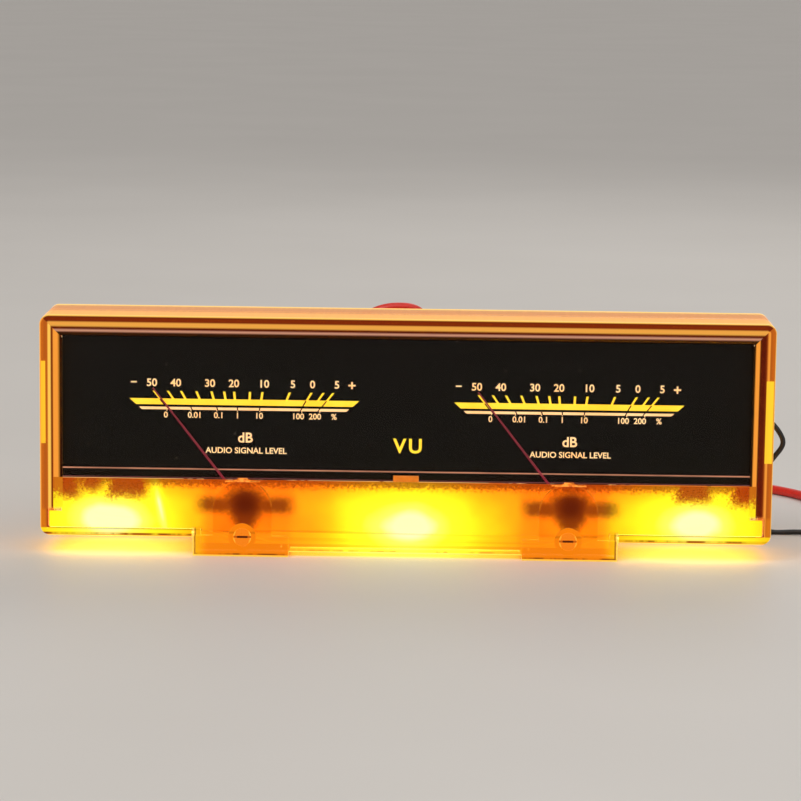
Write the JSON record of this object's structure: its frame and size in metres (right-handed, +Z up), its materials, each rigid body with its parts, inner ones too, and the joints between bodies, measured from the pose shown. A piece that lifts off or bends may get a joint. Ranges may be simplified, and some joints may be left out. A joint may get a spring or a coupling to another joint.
{
  "type": "dual level meter",
  "caption": "Backlit dual analog level meter: a long clear case on two small feet, black dial, frosted lower strip, two moving-coil pointers with zero screws, and two supply leads.",
  "frame": {"origin": "on the surface that the meter stands on, under the middle of the bounding box of the meter without its leads", "axes": "+X to the right as seen from the front, +Y from the front to the back, +Z up"},
  "size_m": [0.2005, 0.094, 0.0549],
  "materials": {
    "clear_cover": "clear moulded plastic, amber from the light inside",
    "clear_rear": "clear moulded plastic",
    "frosted_plastic": "frosted diffuser, lit from behind",
    "dial_black": "black printed film with lit scale marks",
    "guide_acrylic": "polished clear sheet",
    "white_film": "white reflector film",
    "amber_plastic": "moulded, slightly see-through",
    "board_white": "white solder mask",
    "lamp_resin": "lamp package with resin dome",
    "chip_black": "chip resistor",
    "screw_steel": "zinc plated",
    "wire_red": "thin insulated wire",
    "rubber_black": "matte",
    "lead_red": "vinyl insulation",
    "lead_dark": "vinyl insulation",
    "tinned_copper": "tinned strands",
    "chassis_moulding": "dark moulded plastic",
    "yoke_steel": "plated steel ring",
    "magnet_metal": "ground magnet",
    "bridge_metal": "stamped",
    "jewel_brass": "turned",
    "terminal_brass": "stamped and tinned",
    "spring_bronze": "thin strip",
    "zero_arm_metal": "stamped",
    "zero_screw_plastic": "moulded, slightly see-through",
    "former_aluminium": "thin folded strip",
    "winding_copper": "fine enamelled copper wire",
    "staff_steel": "hardened and polished",
    "pointer_red": "painted",
    "weight_brass": "turned"
  },
  "bodies": {
    "case": {"front_cover": "clear_cover", "rear_case": "clear_rear", "frosted_screen": "frosted_plastic", "dial_plate": "dial_black", "light_guide": "guide_acrylic", "reflector_sheet": "white_film", "centre_clip": "amber_plastic", "lamp_board_left": "board_white", "lamp_board_centre": "board_white", "lamp_board_right": "board_white", "lamps_left": "lamp_resin", "lamps_centre": "lamp_resin", "lamps_right": "lamp_resin", "board_resistors": "chip_black", "board_screws": "screw_steel", "movement_screws": "screw_steel", "link_wires": "wire_red", "lead_grommets": "rubber_black", "red_lead": "lead_red", "black_lead": "lead_dark", "red_lead_tip": "tinned_copper", "black_lead_tip": "tinned_copper", "chassis_left": "chassis_moulding", "yoke_left": "yoke_steel", "core_magnet_left": "magnet_metal", "front_bridge_left": "bridge_metal", "rear_bridge_left": "bridge_metal", "jewel_screws_left": "jewel_brass", "bridge_screws_left": "screw_steel", "terminals_left": "terminal_brass", "rear_hairspring_left": "spring_bronze", "chassis_right": "chassis_moulding", "yoke_right": "yoke_steel", "core_magnet_right": "magnet_metal", "front_bridge_right": "bridge_metal", "rear_bridge_right": "bridge_metal", "jewel_screws_right": "jewel_brass", "bridge_screws_right": "screw_steel", "terminals_right": "terminal_brass", "rear_hairspring_right": "spring_bronze"},
    "pointer_left": {"pointer_left": "pointer_red", "balance_weights_left": "weight_brass", "pivots_left": "staff_steel", "coil_former_left": "former_aluminium", "coil_winding_left": "winding_copper"},
    "zero_arm_left": {"zero_arm_left": "zero_arm_metal", "front_hairspring_left": "spring_bronze"},
    "zero_screw_left": {"zero_screw_left": "zero_screw_plastic"},
    "pointer_right": {"pointer_right": "pointer_red", "balance_weights_right": "weight_brass", "pivots_right": "staff_steel", "coil_former_right": "former_aluminium", "coil_winding_right": "winding_copper"},
    "zero_arm_right": {"zero_arm_right": "zero_arm_metal", "front_hairspring_right": "spring_bronze"},
    "zero_screw_right": {"zero_screw_right": "zero_screw_plastic"}
  },
  "joints": [
    {"name": "pointer_left_swing", "type": "hinge", "parent": "case", "child": "pointer_left", "pos_m": [-0.03675, 0, 0.0108], "axis": [0, 1, 0], "range_deg": [-2, 80], "stiffness_Nm_per_rad": 0.00002},
    {"name": "zero_screw_left_turn", "type": "hinge", "parent": "case", "child": "zero_screw_left", "pos_m": [-0.03675, -0.0145, 0.0044], "axis": [0, 1, 0], "range_deg": [-40, 40]},
    {"name": "zero_arm_left_shift", "type": "hinge", "parent": "case", "child": "zero_arm_left", "pos_m": [-0.03675, 0, 0.0108], "axis": [0, 1, 0], "range_deg": [-6.8, 6.8]},
    {"name": "pointer_right_swing", "type": "hinge", "parent": "case", "child": "pointer_right", "pos_m": [0.03675, 0, 0.0108], "axis": [0, 1, 0], "range_deg": [-2, 80], "stiffness_Nm_per_rad": 0.00002},
    {"name": "zero_screw_right_turn", "type": "hinge", "parent": "case", "child": "zero_screw_right", "pos_m": [0.03675, -0.0145, 0.0044], "axis": [0, 1, 0], "range_deg": [-40, 40]},
    {"name": "zero_arm_right_shift", "type": "hinge", "parent": "case", "child": "zero_arm_right", "pos_m": [0.03675, 0, 0.0108], "axis": [0, 1, 0], "range_deg": [-6.8, 6.8]}
  ],
  "couplings": [
    {"joint": "zero_arm_left_shift", "follows": "zero_screw_left_turn", "ratio": -0.17},
    {"joint": "zero_arm_right_shift", "follows": "zero_screw_right_turn", "ratio": -0.17}
  ]
}
